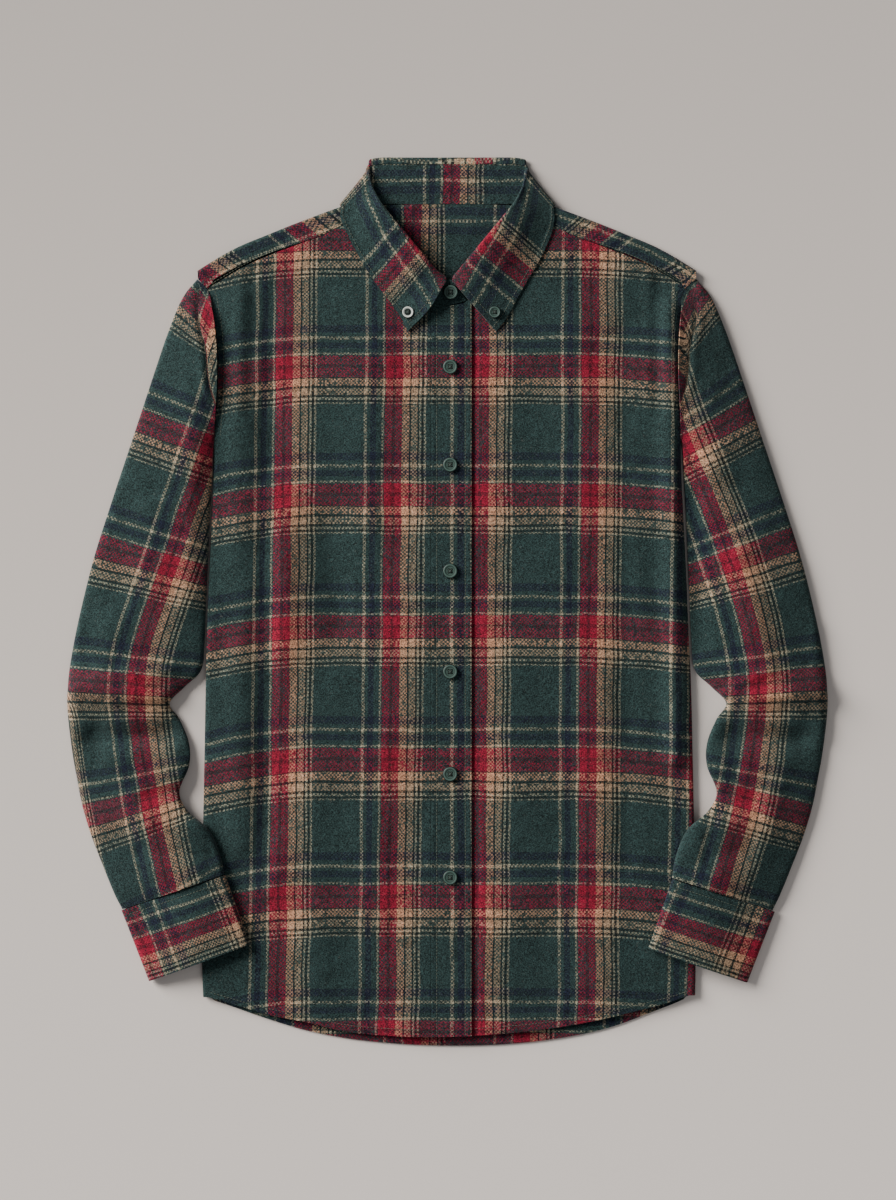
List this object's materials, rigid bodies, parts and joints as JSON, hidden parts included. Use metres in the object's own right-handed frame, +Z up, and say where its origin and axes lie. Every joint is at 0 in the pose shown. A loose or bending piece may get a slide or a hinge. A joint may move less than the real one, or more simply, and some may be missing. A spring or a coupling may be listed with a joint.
{
  "type": "flannel shirt",
  "caption": "Long-sleeved checked flannel shirt laid flat on its back, buttoned, with folded collar, yoke, placket and cuffs.",
  "frame": {"origin": "middle of the laid shirt's outline, on the surface that it lies on", "axes": "+Y towards the collar, +X to the viewer's right when looking down at the shirt, +Z up"},
  "size_m": [0.6848, 0.8, 0.0118],
  "materials": {
    "flannel": "brushed checked twill",
    "button": "glossy dark green"
  },
  "bodies": {
    "root": {"back": "flannel", "front_left": "flannel", "front_right": "flannel", "placket": "flannel", "yoke": "flannel", "collar_stand": "flannel", "collar_leaf": "flannel", "sleeve_left": "flannel", "sleeve_right": "flannel", "cuff_left": "flannel", "cuff_right": "flannel", "button_neck": "button", "button_front_1": "button", "button_front_2": "button", "button_front_3": "button", "button_front_4": "button", "button_front_5": "button", "button_front_6": "button", "button_collar_left": "button", "button_collar_right": "button"}
  },
  "joints": []
}
